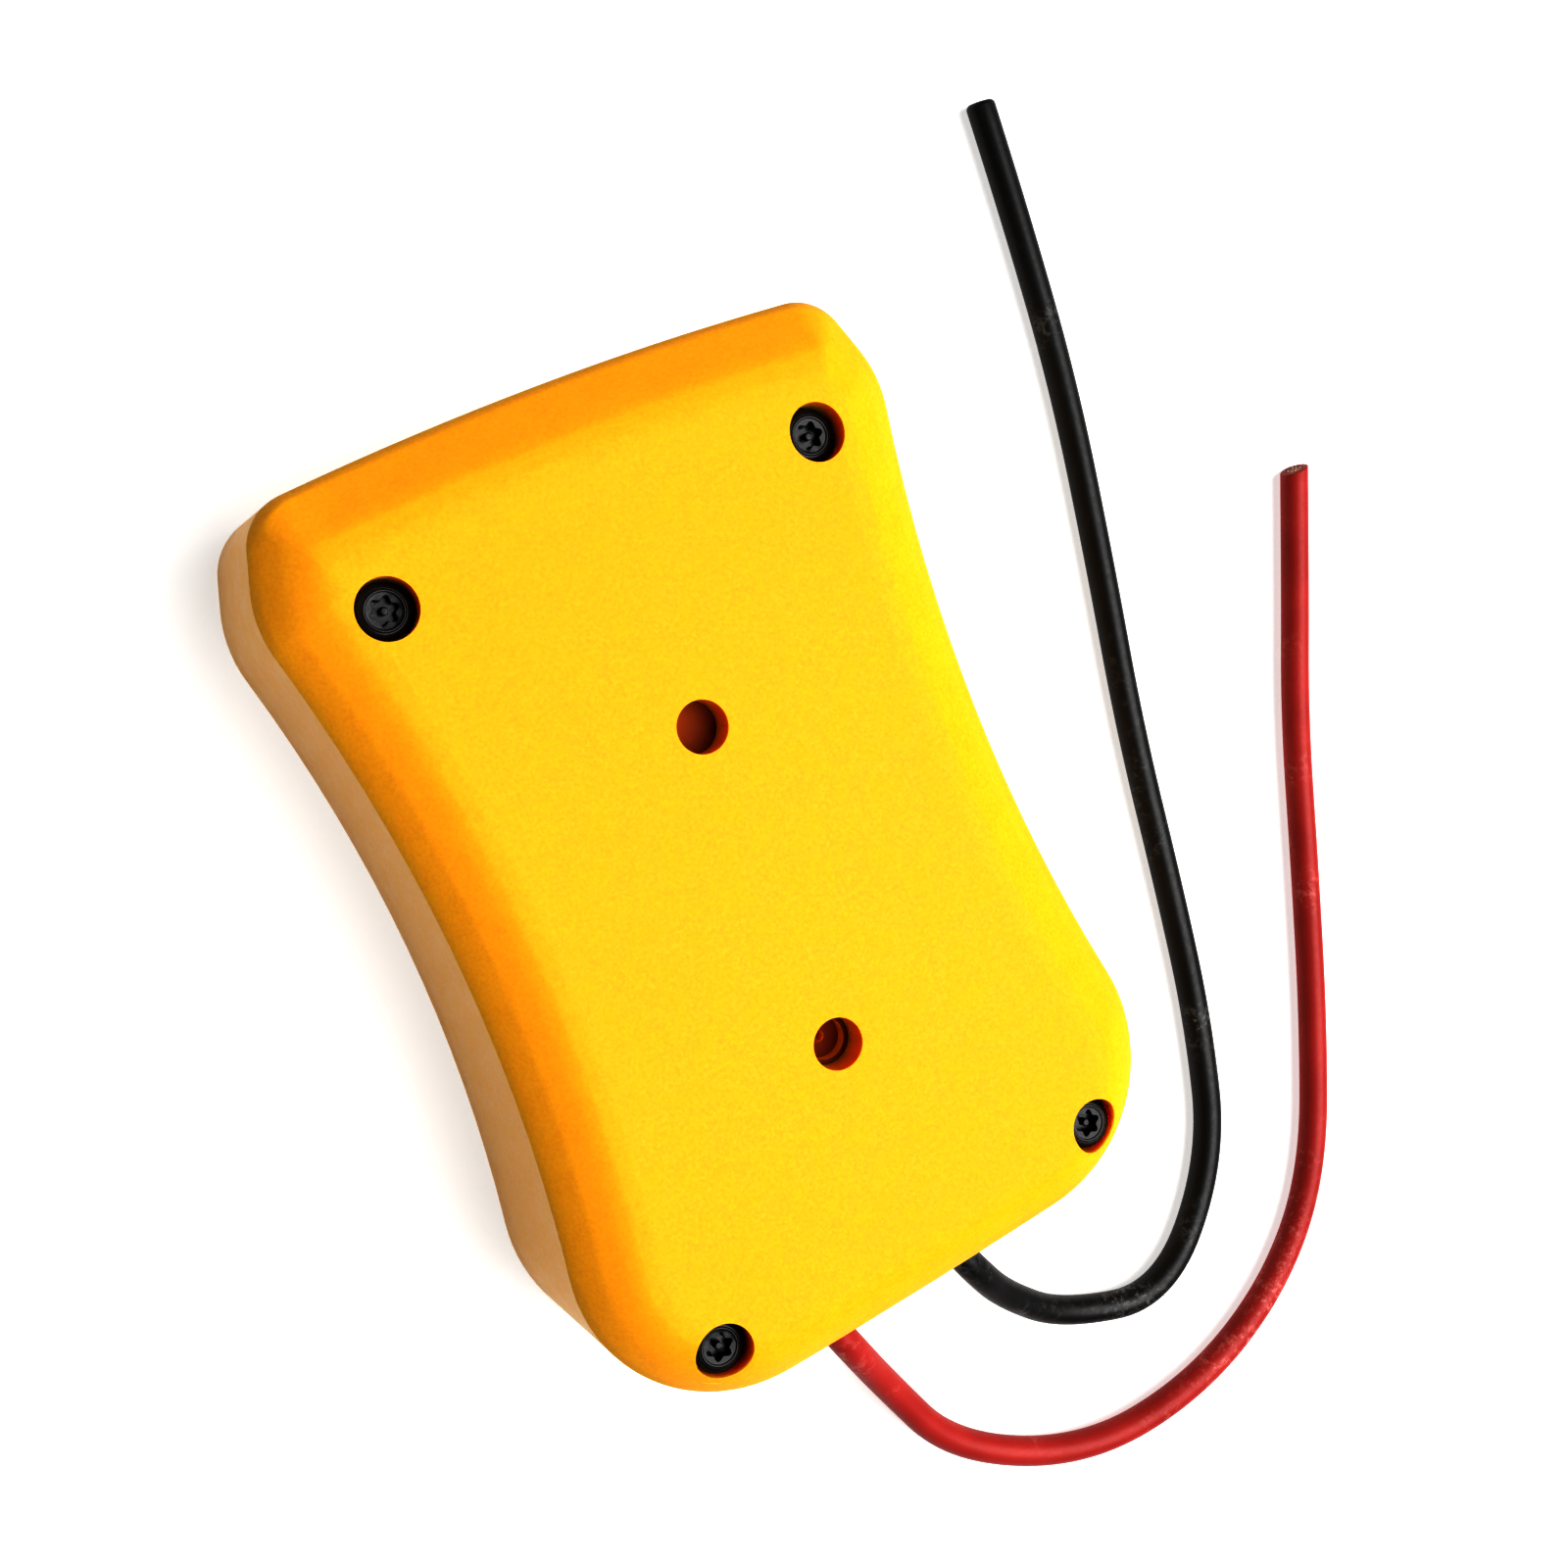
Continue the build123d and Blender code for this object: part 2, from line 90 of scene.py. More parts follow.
def ramp(tree, source, stops):
    """A colour ramp; stops are (position, colour) with colours as one grey or three linear numbers."""
    node = tree.nodes.new("ShaderNodeValToRGB")
    elements = node.color_ramp.elements
    while len(elements) < len(stops):
        elements.new(1.0)
    for element, (position, colour) in zip(elements, stops):
        element.position = position
        colour = (colour, colour, colour) if isinstance(colour, float) else colour
        element.color = (*colour, 1.0)
    tree.links.new(source, node.inputs["Fac"])
    return node.outputs["Color"]


def mix(tree, factor, first, second, blend="MIX"):
    """Blend two colours, each a socket or three linear numbers; factor is a socket or a number."""
    node = tree.nodes.new("ShaderNodeMix")
    node.data_type = "RGBA"
    node.blend_type = blend
    for socket, value in ((node.inputs[0], factor), (node.inputs[6], first), (node.inputs[7], second)):
        if isinstance(value, bpy.types.NodeSocket):
            tree.links.new(value, socket)
        else:
            socket.default_value = value if isinstance(value, float) else (*value, 1.0)
    return node.outputs[2]


def bump(tree, shader, layers):
    """Stack bumps; layers are (height socket, distance in metres, strength)."""
    normal = None
    for height, distance, strength in layers:
        node = add_node(tree, "ShaderNodeBump", distance=distance, strength=strength)
        tree.links.new(height, node.inputs["Height"])
        if normal is not None:
            tree.links.new(normal, node.inputs["Normal"])
        normal = node.outputs["Normal"]
    tree.links.new(normal, shader.inputs["Normal"])


def housing_plastic(name, shades, roughness, gloss, depth, share):
    """ABS from a finely spark-eroded tool: three speckled shades, with a share of light let in to depth."""
    material, tree, shader = new_material(name)
    speckle = noise(tree, 2600.0, detail=3.0, roughness=0.6)
    mottle = noise(tree, 420.0, detail=2.0, roughness=0.5)
    cloud = noise(tree, 22.0, detail=2.0, roughness=0.5)
    dark, middle, light = shades
    base = ramp(tree, speckle, [(0.30, dark), (0.55, middle), (0.75, light)])
    base = mix(tree, ramp(tree, mottle, [(0.35, 0.0), (0.70, 0.28)]), base, light)
    base = mix(tree, ramp(tree, cloud, [(0.35, 0.0), (0.75, 0.18)]), base, dark)
    tree.links.new(base, shader.inputs["Base Color"])
    tree.links.new(
        ramp(tree, mottle, [(0.3, roughness - 0.05), (0.7, roughness + 0.05)]), shader.inputs["Roughness"]
    )
    shader.inputs["Specular IOR Level"].default_value = gloss
    shader.inputs["Subsurface Weight"].default_value = share
    shader.inputs["Subsurface Radius"].default_value = (1.0, 0.45, 0.08)
    shader.inputs["Subsurface Scale"].default_value = depth
    bump(tree, shader, [(speckle, 0.00004, 0.35), (mottle, 0.00006, 0.25)])
    return material


def plain_plastic(name, dark, light, roughness, gloss=0.5):
    """Moulded plastic in two close shades with a fine grain."""
    material, tree, shader = new_material(name)
    grain = noise(tree, 1800.0, detail=3.0, roughness=0.6)
    cloud = noise(tree, 90.0, detail=2.0, roughness=0.5)
    tree.links.new(ramp(tree, cloud, [(0.3, dark), (0.7, light)]), shader.inputs["Base Color"])
    tree.links.new(
        ramp(tree, grain, [(0.3, roughness - 0.06), (0.7, roughness + 0.06)]), shader.inputs["Roughness"]
    )
    shader.inputs["Specular IOR Level"].default_value = gloss
    bump(tree, shader, [(grain, 0.00003, 0.3)])
    return material


def metal(name, dark, light, roughness, metallic=1.0, gloss=0.5):
    """Worked metal with a fine grain and cloudy tarnish."""
    material, tree, shader = new_material(name)
    grain = noise(tree, 3500.0, detail=4.0, roughness=0.6)
    cloud = noise(tree, 260.0, detail=3.0, roughness=0.6)
    shader.inputs["Metallic"].default_value = metallic
    shader.inputs["Specular IOR Level"].default_value = gloss
    tree.links.new(ramp(tree, cloud, [(0.3, dark), (0.7, light)]), shader.inputs["Base Color"])
    tree.links.new(
        ramp(tree, grain, [(0.3, roughness - 0.08), (0.7, roughness + 0.08)]), shader.inputs["Roughness"]
    )
    bump(tree, shader, [(grain, 0.00002, 0.25)])
    return material


def silicone(name, dark, light, scuff, scuff_amount, gloss):
    """Silicone insulation: satin, a little dusty, with pale scuffs along its length."""
    material, tree, shader = new_material(name)
    cloud = noise(tree, 120.0, detail=2.0, roughness=0.5)
    grain = noise(tree, 2400.0, detail=3.0, roughness=0.6)
    patches = noise(tree, 70.0, detail=3.0, roughness=0.6)
    scratches = noise(tree, 900.0, detail=4.0, roughness=0.75)
    base = ramp(tree, cloud, [(0.3, dark), (0.7, light)])
    worn = mix(
        tree,
        1.0,
        ramp(tree, patches, [(0.52, 0.0), (0.68, scuff_amount)]),
        ramp(tree, scratches, [(0.50, 0.0), (0.62, 1.0)]),
        "MULTIPLY",
    )
    tree.links.new(mix(tree, worn, base, scuff), shader.inputs["Base Color"])
    tree.links.new(ramp(tree, grain, [(0.3, 0.36), (0.7, 0.50)]), shader.inputs["Roughness"])
    shader.inputs["Specular IOR Level"].default_value = gloss
    bump(tree, shader, [(grain, 0.00003, 0.3), (patches, 0.00010, 0.2)])
    return material


# The cover is dull and the base glossier. The walls of the cover's recesses and holes get a copy of the
# plastic with lighter shades, a painted light, and deep translucency that lets light from the face through
# them.
golden = ((0.86, 0.415, 0.018), (0.93, 0.468, 0.021), (0.97, 0.515, 0.027))
painted_light_shades = ((0.95, 0.440, 0.018), (0.97, 0.480, 0.021), (0.985, 0.520, 0.025))
cover_plastic = housing_plastic(
    "cover_plastic", golden, roughness=0.53, gloss=0.16, depth=0.0010, share=0.25
)
base_plastic = housing_plastic(
    "base_plastic", golden, roughness=0.38, gloss=0.65, depth=0.0010, share=0.25
)
# Painted light: lighter shades for the walls of the recesses and holes, with deep translucency.
wall_painted_light = housing_plastic(
    "recess_wall_painted_light", painted_light_shades, roughness=0.45, gloss=0.20, depth=0.0030, share=1.0
)
# A dark painted shade for the tops of the posts, deep in the mounting holes.
post_painted_shade = plain_plastic(
    "post_painted_shade", (0.23, 0.056, 0.004), (0.29, 0.070, 0.005), roughness=0.6, gloss=0.12
)
black_nylon = plain_plastic(
    "black_nylon", (0.022, 0.022, 0.023), (0.038, 0.038, 0.040), roughness=0.42
)
sleeve_plastic = plain_plastic(
    "shrink_sleeve", (0.024, 0.024, 0.024), (0.042, 0.042, 0.042), roughness=0.5
)
black_steel = metal(
    "black_steel", (0.008, 0.008, 0.009), (0.018, 0.018, 0.020), roughness=0.26, metallic=0.1, gloss=0.34
)
plated_steel = metal("plated_steel", (0.42, 0.42, 0.41), (0.60, 0.60, 0.58), roughness=0.30)
contact_brass = metal("contact_brass", (0.62, 0.40, 0.15), (0.78, 0.56, 0.26), roughness=0.26)
copper = metal("copper_strands", (0.26, 0.15, 0.09), (0.44, 0.27, 0.17), roughness=0.42)
tin = metal("solder", (0.42, 0.42, 0.43), (0.62, 0.62, 0.62), roughness=0.38)
black_silicone = silicone(
    "black_silicone",
    dark=(0.016, 0.016, 0.016),
    light=(0.024, 0.024, 0.024),
    scuff=(0.20, 0.20, 0.195),
    scuff_amount=0.7,
    gloss=0.4,
)
red_silicone = silicone(
    "red_silicone",
    dark=(0.37, 0.044, 0.038),
    light=(0.45, 0.060, 0.052),
    scuff=(0.62, 0.26, 0.23),
    scuff_amount=0.7,
    gloss=0.25,
)

# ---------------------------------------------------------------- building meshes

weld_distance = 0.004       # millimetres


def from_loops(name, loops, material):
    """A closed skin over a stack of loops with equal numbers of points."""
    mesh = bmesh.new()
    rings = [[mesh.verts.new(point) for point in loop] for loop in loops]
    count = len(rings[0])
    for low, high in zip(rings, rings[1:]):
        for i in range(count):
            j = (i + 1) % count
            mesh.faces.new((low[i], low[j], high[j], high[i]))
    mesh.faces.new(list(reversed(rings[0])))
    mesh.faces.new(rings[-1])
    bmesh.ops.recalc_face_normals(mesh, faces=mesh.faces)
    data = bpy.data.meshes.new(name)
    mesh.to_mesh(data)
    mesh.free()
    data.materials.append(material)
    piece = bpy.data.objects.new(name, data)
    scene.collection.objects.link(piece)
    return piece


def shade_smooth(mesh, angle):
    """Shade a mesh smooth, except across edges that fold by more than angle, in degrees."""
    for face in mesh.faces:
        face.smooth = True
    for edge in mesh.edges:
        edge.smooth = edge.calc_face_angle(0.0) < math.radians(angle)


def pillar(name, radius, bottom, top, material, place, steps=72):
    """A round upright bar or cutter centred on place, in millimetres."""
    loops = []
    for z in (bottom, top):
        angles = [math.tau * i / steps for i in range(steps)]
        loops.append(
            [(place[0] + radius * math.cos(a), place[1] + radius * math.sin(a), z) for a in angles]
        )
    return from_loops(name, loops, material)


def apply_modifiers(piece):
    """Turn a piece's modifiers into its mesh."""
    graph = bpy.context.evaluated_depsgraph_get()
    data = bpy.data.meshes.new_from_object(piece.evaluated_get(graph), depsgraph=graph)
    old = piece.data
    piece.modifiers.clear()
    piece.data = data
    bpy.data.meshes.remove(old)


def cut(piece, cutter, operation="DIFFERENCE"):
    """Cut or join one piece with another, and remove the second."""
    modifier = piece.modifiers.new("cut", "BOOLEAN")
    modifier.operation = operation
    modifier.object = cutter
    modifier.solver = "MANIFOLD"
    apply_modifiers(piece)
    data = cutter.data
    bpy.data.objects.remove(cutter)
    bpy.data.meshes.remove(data)


def finish_edges(piece, angle, chosen=None, width=0.0):
    """Weld a piece made in millimetres, round its chosen sharp edges, shade it and turn it to metres."""
    mesh = bmesh.new()
    mesh.from_mesh(piece.data)
    bmesh.ops.remove_doubles(mesh, verts=mesh.verts, dist=weld_distance)
    bmesh.ops.dissolve_degenerate(mesh, edges=mesh.edges, dist=weld_distance)
    if chosen:
        folded = [edge for edge in mesh.edges if edge.calc_face_angle(0.0) > math.radians(angle)]
        bmesh.ops.bevel(
            mesh,
            geom=[edge for edge in folded if chosen(edge)],
            offset=width,
            offset_type="OFFSET",
            affect="EDGES",
            segments=3,
            profile=0.5,
            clamp_overlap=True,
        )
    shade_smooth(mesh, angle)
    mesh.to_mesh(piece.data)
    mesh.free()
    weighted = piece.modifiers.new("normals", "WEIGHTED_NORMAL")
    weighted.keep_sharp = True
    weighted.weight = 60
    apply_modifiers(piece)
    piece.data.transform(Matrix.Scale(MM, 4))


# ---------------------------------------------------------------- wires

wire_diameter = 0.0035
conductor_radius = 0.00098
conductor_gap = 0.00006     # between the strands and the insulation, at the cut
conductor_hollow = 0.0004
strand_radius = conductor_radius / 5
strand_fill = 0.97          # a strand's thickness in its share of the conductor
strand_shortfall = 0.0001   # the strands stop about this much below the rim
strand_unevenness = 0.00004
ring_twist = 0.3            # radians
tip_length = 0.0034         # the last bit of each wire, which ends in a snipped face
tip_margin = 0.0001
rim_turns = (0.35, 0.75, 1.2)   # radians round the rim's rounding
level = (0.0, 0.0)          # the slant of a loop straight across the wire
wire_floor = wire_diameter / 2
wire_exit_x = 0.0085
wire_exit_y = -0.049
wire_exit_z = 0.0105
black_route = [
    (wire_exit_x, wire_exit_y, wire_exit_z),
    (wire_exit_x, -0.0535, wire_exit_z),
    (0.0102, -0.0581, 0.0099),
    (0.0138, -0.0650, 0.0056),
    (0.0210, -0.0735, wire_floor),
    (0.0350, -0.0790, wire_floor),
    (0.0485, -0.0665, wire_floor),
    (0.0535, -0.0500, wire_floor),
    (0.0565, -0.0330, wire_floor),
    (0.0595, -0.0120, wire_floor),
    (0.0640, 0.0090, wire_floor),
    (0.0680, 0.0300, wire_floor),
    (0.0700, 0.0500, wire_floor),
    (0.0710, 0.0655, wire_floor),
]
red_route = [
    (-wire_exit_x, wire_exit_y, wire_exit_z),
    (-wire_exit_x, -0.0530, wire_exit_z),
    (-0.0069, -0.0580, 0.0098),
    (-0.0040, -0.0660, 0.0052),
    (0.0015, -0.0805, wire_floor),
    (0.0170, -0.0910, wire_floor),
    (0.0345, -0.0920, wire_floor),
    (0.0500, -0.0865, wire_floor),
    (0.0615, -0.0760, wire_floor),
    (0.0695, -0.0580, wire_floor),
    (0.0765, -0.0390, wire_floor),
    (0.0830, -0.0205, wire_floor),
    (0.0900, -0.0050, wire_floor),
    (0.0965, 0.0100, wire_floor),
]


def make_wire(name, route, material):
    """A wire as one smooth spline along its route."""
    curve = bpy.data.curves.new(name, "CURVE")
    curve.dimensions = "3D"
    curve.resolution_u = 14
    curve.bevel_depth = wire_diameter / 2
    curve.bevel_resolution = 10
    curve.use_fill_caps = True
    spline = curve.splines.new("NURBS")
    spline.points.add(len(route) - 1)
    for point, place in zip(spline.points, route):
        point.co = (*place, 1.0)
    spline.order_u = 3
    spline.use_endpoint_u = True
    wire = bpy.data.objects.new(name, curve)
    scene.collection.objects.link(wire)
    curve.materials.append(material)
    return wire


def ends_short(route, shortfall):
    """A route that stops that much before its end, and the direction it ends in."""
    before, end = Vector(route[-2]), Vector(route[-1])
    ahead = (end - before).normalized()
    return route[:-1] + [tuple(end - ahead * shortfall)], ahead


def make_skin(name, loops, material):
    """A closed skin in metres, shaded smooth except at its sharp edges."""
    piece = from_loops(name, loops, material)
    mesh = bmesh.new()
    mesh.from_mesh(piece.data)
    shade_smooth(mesh, angle=40.0)
    mesh.to_mesh(piece.data)
    mesh.free()
    return piece


def snipped_loop(centre, ahead, radius, reach, slant, off=(0.0, 0.0), steps=32):
    """A circle across a wire at reach along it, sheared so that a cut end faces aside and up."""
    aside = Vector((-ahead.y, ahead.x, 0.0))
    loop = []
    for i in range(steps):
        angle = math.tau * i / steps
        across = off[0] + radius * math.cos(angle)
        up = off[1] + radius * math.sin(angle)
        along = reach - slant[0] * across - slant[1] * up
        loop.append(centre + ahead * along + aside * across + Vector((0.0, 0.0, up)))
    return loop


def make_tip(colour, end, ahead, slant, rim, rounding, material):
    """The snipped end of a wire's insulation: its rounded rim, and a hollow for the conductor."""
    radius = wire_diameter / 2
    profile = [(radius, 0.0, level), (radius, rim - rounding, slant)]
    for turn in rim_turns:
        inwards = rounding * (1.0 - math.cos(turn))
        profile.append((radius - inwards, rim - rounding * (1.0 - math.sin(turn)), slant))
    profile.append((conductor_radius + conductor_gap, rim, slant))
    profile.append((conductor_radius, rim - conductor_hollow, slant))
    loops = [snipped_loop(end, ahead, reach_out, along, lean) for reach_out, along, lean in profile]
    return make_skin(f"{colour}_wire_tip", loops, material)


def make_conductor(colour, end, ahead, slant, rim, material):
    """The conductor's strands, in two rings about a middle one, snipped at uneven lengths."""
    places = [(0.0, 0.0)]
    for ring, many in ((1, 6), (2, 12)):
        for i in range(many):
            angle = math.tau * i / many + ring * ring_twist
            reach = 2.0 * strand_radius * ring
            places.append((reach * math.cos(angle), reach * math.sin(angle)))
    strands = bmesh.new()
    for number, off in enumerate(places):
        length = rim - strand_shortfall + strand_unevenness * (1 + number % 3)
        low = snipped_loop(end, ahead, strand_radius * strand_fill, 0.0, level, off, steps=10)
        high = snipped_loop(end, ahead, strand_radius * strand_fill, length, slant, off, steps=10)
        strand = make_skin("strand", [low, high], material)
        strands.from_mesh(strand.data)
        bpy.data.meshes.remove(strand.data)
    data = bpy.data.meshes.new(f"{colour}_wire_conductor")
    strands.to_mesh(data)
    strands.free()
    data.materials.append(material)
    core = bpy.data.objects.new(f"{colour}_wire_conductor", data)
    scene.collection.objects.link(core)
    return core


# Each wire's route, its length along the curve, how much its cut leans aside and up per unit, and
# the rounding of its rim.
for colour, route, length, slant, rounding, material in (
    ("black", black_route, 0.1949, (0.0, 0.10), 0.0006, black_silicone),
    ("red", red_route, 0.1938, (0.48, 0.22), 0.00015, red_silicone),
):
    shortened, ahead = ends_short(route, tip_length)
    wire = make_wire(f"{colour}_wire_insulation", shortened, material)
    end = Vector(shortened[-1])
    rim = tip_length - tip_margin - slant[0] * wire_diameter / 2
    tip = make_tip(colour, end, ahead, slant, rim, rounding, material)
    core = make_conductor(colour, end, ahead, slant, rim, copper)
    for piece, slot in ((wire, f"{colour}_silicone"), (tip, f"{colour}_silicone"), (core, "copper_strands")):
        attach(piece, "root")
    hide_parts(f"{colour}_wire")

# ---------------------------------------------------------------- the cover's outline
# The outline's circles, all in millimetres: the far and near ends, the hollow side, and the line of
# the flare, with the corners between them.

far_end = 50.2
near_end = -49.4
far_radius = 353.0
near_radius = 880.0
side_radius = 170.0
side_centre = (199.95, 2.6)
flare_angle = math.radians(20.0)
flare_point = (33.95, 39.0)
near_corner_radius = 16.8
flare_corner_radius = 12.0
far_corner_radius = 5.5
flare_corner_growth = 1.5       # the flare's corner opens faster than the outline grows
least_flare_corner = 0.8        # the corners stay at least this round where the outline shrinks
least_far_corner = 1.0


def circles_meet(first, first_radius, second, second_radius, side):
    """One of the two points at those distances from two centres; side is 1 or -1."""
    across = Vector(second) - Vector(first)
    gap = across.length
    along = (first_radius**2 - second_radius**2 + gap**2) / (2 * gap)
    off = math.sqrt(first_radius**2 - along**2)
    turned = Vector((-across.y, across.x)) / gap
    return Vector(first) + across / gap * along + turned * off * side


def line_meets_circle(normal, reach, centre, radius, side):
    """A point on the line at reach along normal, that distance from a centre."""
    along = Vector((-normal.y, normal.x))
    foot = Vector(centre).dot(along)
    off = math.sqrt(radius**2 - (Vector(centre).dot(normal) - reach) ** 2)
    return normal * reach + along * (foot + off * side)


def heading(start, end):
    """The direction from one point to another, in radians."""
    return math.atan2(end[1] - start[1], end[0] - start[0])


def arc(centre, radius, start, end, steps):
    """Points along an arc from one heading to another, without the last one."""
    headings = [start + (end - start) * i / steps for i in range(steps)]
    return [(centre[0] + radius * math.cos(a), centre[1] + radius * math.sin(a)) for a in headings]


def outline(grow, far_grow=0.0, near_grow=0.0):
    """The waisted outline, grown outwards, and further at its ends; always as many points."""
    far_centre = (0.0, far_end - far_radius)
    near_centre = (0.0, near_end + near_radius)
    far = far_radius + grow + far_grow
    near = near_radius + grow + near_grow
    side = side_radius - grow
    near_corner = near_corner_radius + grow
    flare_corner = max(flare_corner_radius + flare_corner_growth * grow, least_flare_corner)
    far_corner = max(far_corner_radius + grow, least_far_corner)
    normal = Vector((math.cos(flare_angle), math.sin(flare_angle)))
    reach = Vector(flare_point).dot(normal) + grow

    near_turn = circles_meet(near_centre, near - near_corner, side_centre, side + near_corner, -1)
    flare_turn = line_meets_circle(normal, reach - flare_corner, side_centre, side + flare_corner, 1)
    far_turn = line_meets_circle(normal, reach - far_corner, far_centre, far - far_corner, 1)
    to_side = heading(near_turn, side_centre)
    from_side = heading(side_centre, near_turn) % math.tau
    flare_from = heading(side_centre, flare_turn) % math.tau
    right = arc(near_centre, near, -math.pi / 2, heading(near_centre, near_turn), 16)
    right += arc(near_turn, near_corner, heading(near_centre, near_turn), to_side, 22)
    right += arc(side_centre, side, from_side, flare_from, 44)
    right += arc(flare_turn, flare_corner, heading(flare_turn, side_centre), flare_angle, 10)
    flare_start = flare_turn + normal * flare_corner
    flare_stop = far_turn + normal * far_corner
    right += [tuple(flare_start.lerp(flare_stop, i / 6)) for i in range(6)]
    right += arc(far_turn, far_corner, flare_angle, heading(far_centre, far_turn), 14)
    right += arc(far_centre, far, heading(far_centre, far_turn), math.pi / 2, 24)
    left = [(-x, y) for x, y in reversed(right[1:])]
    return right + [(0.0, far_end + grow + far_grow)] + left


# ---------------------------------------------------------------- top cover

face_height = 28.0
seam_height = 23.55
cover_rim = 3.2             # the rim's width around the hollow
roof_height = 25.5          # the hollow's top
recess_radius = 2.95
screw_seat = 24.1
screw_bore_radius = 1.55
screw_boss_radius = 3.75
screw_boss_bottom = 22.4
screw_boss_top = 25.6
hole_radius = 2.65
hole_boss_radius = 4.75
hole_boss_bottom = 24.3
hole_boss_top = 26.0
mouth_rounding = 0.12
mouth_tolerance = 0.1       # a mouth's edge is this close to its radius
lowest_mouth = 26.5         # and higher than this
clearance = 3.0             # how far a cutter stands out of what it cuts
screw_places = {
    "far_left": (-22.9, 36.1),
    "far_right": (22.9, 36.1),
    "near_left": (-22.9, -42.1),
    "near_right": (22.9, -42.1),
}
hole_places = {"far": (0.0, 14.4), "near": (0.0, -20.1)}
wall_reach = 3.0            # the recesses' and holes' walls are nearer their centres than this

# The shoulder's sections, from the seam up: how far in from the outline and how far below the
# face. The sides and the near end are rounded; the far end is a bevel with rounded edges.
side_section = [(0.0, 4.45), (0.44, 3.83), (0.96, 3.27), (1.6, 2.67), (2.3, 2.09), (3.0, 1.58),
                (3.8, 1.13), (4.5, 0.76), (5.2, 0.47), (5.9, 0.24), (6.6, 0.10), (7.4, 0.02), (8.0, 0.0)]
far_section = [(0.0, 4.45), (0.25, 3.95), (0.6, 3.55), (1.0, 3.22), (2.2, 2.44), (3.4, 1.66),
               (4.4, 1.02), (5.2, 0.59), (6.0, 0.30), (6.9, 0.11), (7.8, 0.03), (8.7, 0.005), (9.6, 0.0)]
near_share = 0.8            # the near end's shoulder is this share of a side's width
far_section_y = (30.0, 44.0)    # the far section takes over between these
far_section_x = (31.0, 21.0)    # and between these, from a corner inwards
face_inset = 0.25           # a last loop this far into the flat face keeps its edge crisp


def smooth_step(value, start, stop):
    """A share from 0 to 1 that rises smoothly while value goes from start to stop."""
    share = min(max((value - start) / (stop - start), 0.0), 1.0)
    return share * share * (3.0 - 2.0 * share)


def shoulder_loops():
    """The shoulder's loops from the seam up to the flat face, and one a little way into the face."""
    loops = []
    for (side_in, side_down), (far_in, far_down) in zip(side_section, far_section):
        loop = []
        for x, y in outline(-side_in, side_in - far_in, side_in * (1.0 - near_share)):
            far_share = smooth_step(y, *far_section_y) * smooth_step(abs(x), *far_section_x)
            loop.append((x, y, face_height - side_down - (far_down - side_down) * far_share))
        loops.append(loop)
    inset = side_section[-1][0]
    inner = outline(-inset - face_inset, inset - far_section[-1][0], inset * (1.0 - near_share))
    loops.append([(x, y, face_height) for x, y in inner])
    return loops


def cut_hollow(cover):
    """Cut the hollow under the cover, inside its rim."""
    rim = [(x, y, seam_height - clearance) for x, y in outline(-cover_rim)]
    roof = [(x, y, roof_height) for x, y in outline(-cover_rim)]
    cut(cover, from_loops("hollow", [rim, roof], cover_plastic))


def add_bosses(cover, places, radius, bottom, top):
    """Stand a boss under the cover at each place."""
    for place in places.values():
        cut(cover, pillar("boss", radius, bottom, top, cover_plastic, place), "UNION")


def bore_cover(cover):
    """Cut the screws' recesses and bores, and the mounting holes."""
    out = face_height + clearance
    for place in screw_places.values():
        cut(cover, pillar("recess", recess_radius, screw_seat, out, cover_plastic, place))
        bore = pillar(
            "bore", screw_bore_radius, screw_seat - clearance, face_height, cover_plastic, place, steps=32
        )
        cut(cover, bore)
    for place in hole_places.values():
        cut(cover, pillar("hole", hole_radius, seam_height - clearance, out, cover_plastic, place))


def at_a_mouth(edge):
    """Whether an edge runs round the mouth of a recess or a hole, on the face or the shoulder."""
    middle = (edge.verts[0].co + edge.verts[1].co) / 2
    if middle.z < lowest_mouth:
        return False
    mouths = [(place, recess_radius) for place in screw_places.values()]
    mouths += [(place, hole_radius) for place in hole_places.values()]
    return any(abs((middle.xy - Vector(place)).length - radius) < mouth_tolerance for place, radius in mouths)


def is_upright(face):
    """Whether a face stands within 30 degrees of upright."""
    return abs(face.normal.z) < 0.5


def is_near(face, places, distance):
    """Whether a face's middle is nearer than distance to any of the places, seen from above, in mm."""
    middle = face.center.xy / MM
    return any((middle - Vector(place)).length < distance for place in places.values())


top_cover = from_loops("top_cover_shell", shoulder_loops(), cover_plastic)
cut_hollow(top_cover)
add_bosses(top_cover, screw_places, screw_boss_radius, screw_boss_bottom, screw_boss_top)
add_bosses(top_cover, hole_places, hole_boss_radius, hole_boss_bottom, hole_boss_top)
bore_cover(top_cover)
finish_edges(top_cover, angle=32.0, chosen=at_a_mouth, width=mouth_rounding)

# The upright walls of the recesses and holes take the lighter, deeply translucent copy of the plastic:
# painted light, with light from the face let through them.
top_cover.data.materials.append(wall_painted_light)
for face in top_cover.data.polygons:
    if is_upright(face) and is_near(face, screw_places | hole_places, wall_reach):
        face.material_index = 1

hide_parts("top_cover")
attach(top_cover, "root")

# ---------------------------------------------------------------- the cover's screws
# Each row of the profile is (radius, height above the head's seat, size of the six lobes). It runs
# up the point, the shank and the head, over a raised ring on the crown, down the lobed socket, and
# up the pin in the middle of it.

